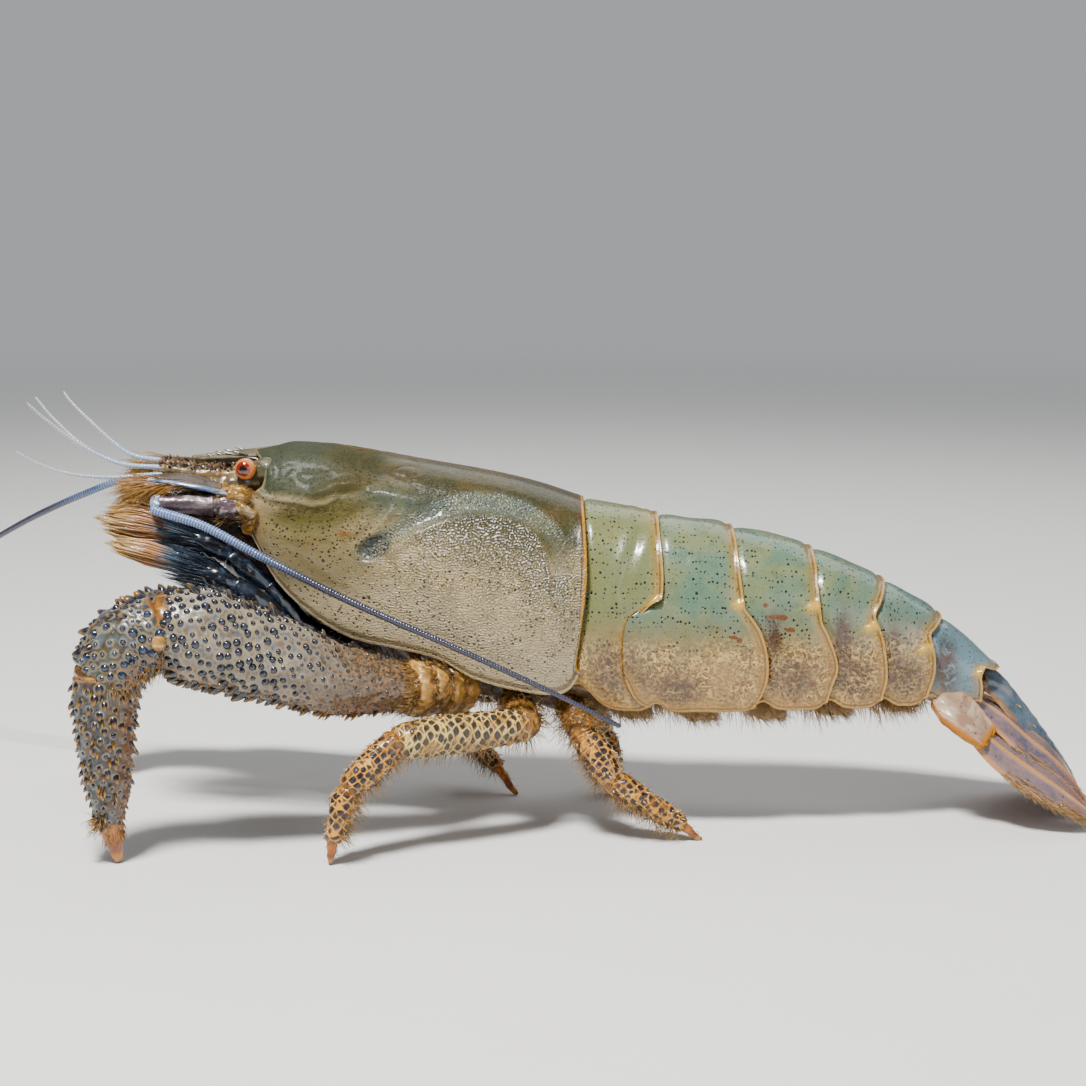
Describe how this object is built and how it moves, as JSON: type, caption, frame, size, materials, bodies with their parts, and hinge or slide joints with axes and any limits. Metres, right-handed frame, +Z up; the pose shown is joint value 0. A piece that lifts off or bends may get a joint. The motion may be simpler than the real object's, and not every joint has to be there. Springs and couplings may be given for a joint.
{
  "type": "giant african filter shrimp",
  "caption": "Large freshwater filter shrimp standing on the floor, with massive studded walking legs, bristle fans, long feelers and an arched ringed abdomen.",
  "frame": {"origin": "middle of the model's box in X and Y, on the floor under the feet", "axes": "-X towards the head, +X towards the tail, -Y the animal's left side, +Z up"},
  "size_m": [0.1678, 0.0646, 0.0562],
  "materials": {
    "carapace_shell": "wet, glossy olive shell fading to stone beige on the flank, finely pitted",
    "underside": "damp tan membrane and plates",
    "abdomen_shell": "wet grey-green shell with dark pits, beige side plates and golden rims",
    "tail_shell": "thin slate and pink-brown blades with pale ribs and bristled edges",
    "eye": "polished orange eye with a dark centre",
    "head_cuticle": "glossy grey-brown segments with yellow-orange joints",
    "scale_blade": "thin blue-grey blade with a pale rib",
    "feeler": "pale blue rings turning slate",
    "filter_arm": "deep blue-black polished segments",
    "bristles": "fine tan to orange bristles",
    "studded_leg": "grey-tan shell set with navy studs and orange spine tips",
    "joint_cuticle": "hairy orange-brown joint segments",
    "claw": "orange horn darkening at the tip",
    "slender_leg": "cream shell with dark spots and orange-brown joints",
    "swimmeret": "brown lobes fringed with tan bristles"
  },
  "bodies": {
    "root": {"abdomen_1": "abdomen_shell", "abdomen_2": "abdomen_shell", "abdomen_3": "abdomen_shell", "abdomen_4": "abdomen_shell", "abdomen_5": "abdomen_shell", "abdomen_6": "abdomen_shell", "antenna_flagellum_left": "feeler", "antenna_flagellum_right": "feeler", "antenna_peduncle_left": "head_cuticle", "antenna_peduncle_right": "head_cuticle", "antenna_scale_left": "scale_blade", "antenna_scale_right": "scale_blade", "antennule_lower_left": "feeler", "antennule_lower_right": "feeler", "antennule_peduncle_left": "head_cuticle", "antennule_peduncle_right": "head_cuticle", "antennule_upper_left": "feeler", "antennule_upper_right": "feeler", "carapace": "carapace_shell", "eye_left": "eye", "eye_right": "eye", "eyestalk_left": "head_cuticle", "eyestalk_right": "head_cuticle", "fifth_leg_lower_left": "slender_leg", "fifth_leg_lower_right": "slender_leg", "fifth_leg_upper_left": "slender_leg", "fifth_leg_upper_right": "slender_leg", "first_leg_arm_left": "filter_arm", "first_leg_arm_right": "filter_arm", "first_leg_fan_left": "bristles", "first_leg_fan_right": "bristles", "fourth_leg_lower_left": "slender_leg", "fourth_leg_lower_right": "slender_leg", "fourth_leg_upper_left": "slender_leg", "fourth_leg_upper_right": "slender_leg", "maxilliped_left": "head_cuticle", "maxilliped_right": "head_cuticle", "second_leg_arm_left": "filter_arm", "second_leg_arm_right": "filter_arm", "second_leg_fan_left": "bristles", "second_leg_fan_right": "bristles", "sternum": "underside", "swimmerets_left": "swimmeret", "swimmerets_right": "swimmeret", "telson": "tail_shell", "third_leg_base_left": "joint_cuticle", "third_leg_base_right": "joint_cuticle", "third_leg_carpus_left": "studded_leg", "third_leg_carpus_right": "studded_leg", "third_leg_dactyl_left": "claw", "third_leg_dactyl_right": "claw", "third_leg_merus_left": "studded_leg", "third_leg_merus_right": "studded_leg", "third_leg_propodus_left": "studded_leg", "third_leg_propodus_right": "studded_leg", "uropod_endopod_left": "tail_shell", "uropod_endopod_right": "tail_shell", "uropod_exopod_left": "tail_shell", "uropod_exopod_right": "tail_shell"}
  },
  "joints": []
}
